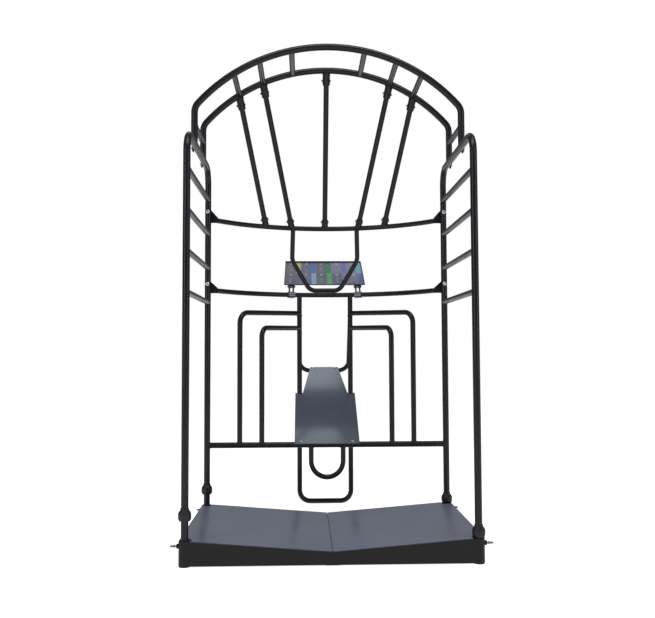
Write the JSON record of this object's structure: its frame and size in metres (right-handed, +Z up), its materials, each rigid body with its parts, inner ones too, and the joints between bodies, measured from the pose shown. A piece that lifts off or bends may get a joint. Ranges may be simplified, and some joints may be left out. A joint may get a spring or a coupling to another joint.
{
  "type": "stretching cage",
  "caption": "Free-standing tubular stretching cage with side ladders, overhead arches, bowed back rails, handles, sloped board, chart tray and a shallow V platform.",
  "frame": {"origin": "on the floor under the middle of the platform", "axes": "+Z up, the open front faces -Y, the board and bowed rails are at +Y"},
  "size_m": [1.375, 1.4932, 2.38],
  "materials": {
    "frame_paint": "satin black powder coat",
    "base_paint": "satin black powder coat",
    "deck_mat": "smooth slate grey rubber",
    "foot_rubber": "moulded black rubber",
    "collar_plastic": "fine textured black nylon",
    "screw_steel": "threaded steel",
    "bolt_zinc": "zinc plated",
    "board_laminate": "smooth slate grey laminate",
    "tray_plastic": "fine textured black",
    "chart_print": "laminated colour print",
    "bracket_steel": "bright drawn rod"
  },
  "bodies": {
    "frame": {"arch_back": "frame_paint", "arch_bolts": "bolt_zinc", "arch_front": "frame_paint", "arch_rungs": "frame_paint", "arch_tongues": "frame_paint", "board": "board_laminate", "board_screws": "bolt_zinc", "centre_hoop": "frame_paint", "chart_bracket_left": "bracket_steel", "chart_bracket_right": "bracket_steel", "chest_loop": "frame_paint", "deck_left": "base_paint", "deck_ribs": "base_paint", "deck_right": "base_paint", "fan_bar_1": "frame_paint", "fan_bar_2": "frame_paint", "fan_bar_3": "frame_paint", "fan_bar_4": "frame_paint", "fan_bar_5": "frame_paint", "fan_lower_sleeves": "frame_paint", "fan_pins": "bolt_zinc", "fan_upper_sleeves": "frame_paint", "floor_pads": "foot_rubber", "handle_inner_left": "frame_paint", "handle_inner_right": "frame_paint", "handle_outer_left": "frame_paint", "handle_outer_right": "frame_paint", "mat_left": "deck_mat", "mat_right": "deck_mat", "rail_bolts": "bolt_zinc", "rail_low": "frame_paint", "rail_lower_bow": "frame_paint", "rail_tabs": "frame_paint", "rail_upper_bow": "frame_paint", "ramp_hoop": "frame_paint", "rungs_left": "frame_paint", "rungs_right": "frame_paint", "seam_bolts": "bolt_zinc", "seam_walls": "base_paint", "side_frame_left": "frame_paint", "side_frame_right": "frame_paint", "skirt_back": "base_paint", "skirt_front": "base_paint", "skirt_sides": "base_paint", "socket_back_left": "base_paint", "socket_back_right": "base_paint", "socket_front_left": "base_paint", "socket_front_right": "base_paint", "toe_loop": "frame_paint"},
    "collar_front_left": {"collar_front_left": "collar_plastic"},
    "collar_front_right": {"collar_front_right": "collar_plastic"},
    "collar_back_left": {"collar_back_left": "collar_plastic"},
    "collar_back_right": {"collar_back_right": "collar_plastic"},
    "clamp_screw_front_left": {"clamp_screw_front_left": "screw_steel"},
    "clamp_screw_front_right": {"clamp_screw_front_right": "screw_steel"},
    "clamp_screw_back_left": {"clamp_screw_back_left": "screw_steel"},
    "clamp_screw_back_right": {"clamp_screw_back_right": "screw_steel"},
    "chart": {"chart_tray": "tray_plastic", "chart_sheet": "chart_print", "chart_pins": "bolt_zinc"}
  },
  "joints": [
    {"name": "collar_front_left_slide", "type": "slide", "parent": "frame", "child": "collar_front_left", "axis": [0, 0, 1], "range_m": [-0.08, 0.9]},
    {"name": "collar_front_right_slide", "type": "slide", "parent": "frame", "child": "collar_front_right", "axis": [0, 0, 1], "range_m": [0, 0.98]},
    {"name": "collar_back_left_slide", "type": "slide", "parent": "frame", "child": "collar_back_left", "axis": [0, 0, 1], "range_m": [-0.055, 0.175]},
    {"name": "collar_back_right_slide", "type": "slide", "parent": "frame", "child": "collar_back_right", "axis": [0, 0, 1], "range_m": [0, 0.23]},
    {"name": "clamp_screw_front_left_turn", "type": "hinge", "parent": "frame", "child": "clamp_screw_front_left", "pos_m": [-0.665, -0.367, 0.085], "axis": [-1, 0, 0], "continuous": true},
    {"name": "clamp_screw_front_right_turn", "type": "hinge", "parent": "frame", "child": "clamp_screw_front_right", "pos_m": [0.665, -0.367, 0.085], "axis": [1, 0, 0], "continuous": true},
    {"name": "clamp_screw_back_left_turn", "type": "hinge", "parent": "frame", "child": "clamp_screw_back_left", "pos_m": [-0.665, 0.367, 0.085], "axis": [-1, 0, 0], "continuous": true},
    {"name": "clamp_screw_back_right_turn", "type": "hinge", "parent": "frame", "child": "clamp_screw_back_right", "pos_m": [0.665, 0.367, 0.085], "axis": [1, 0, 0], "continuous": true},
    {"name": "chart_tilt", "type": "hinge", "parent": "frame", "child": "chart", "pos_m": [0, 0.785, 1.278], "axis": [1, 0, 0], "range_deg": [-20, 25]}
  ]
}
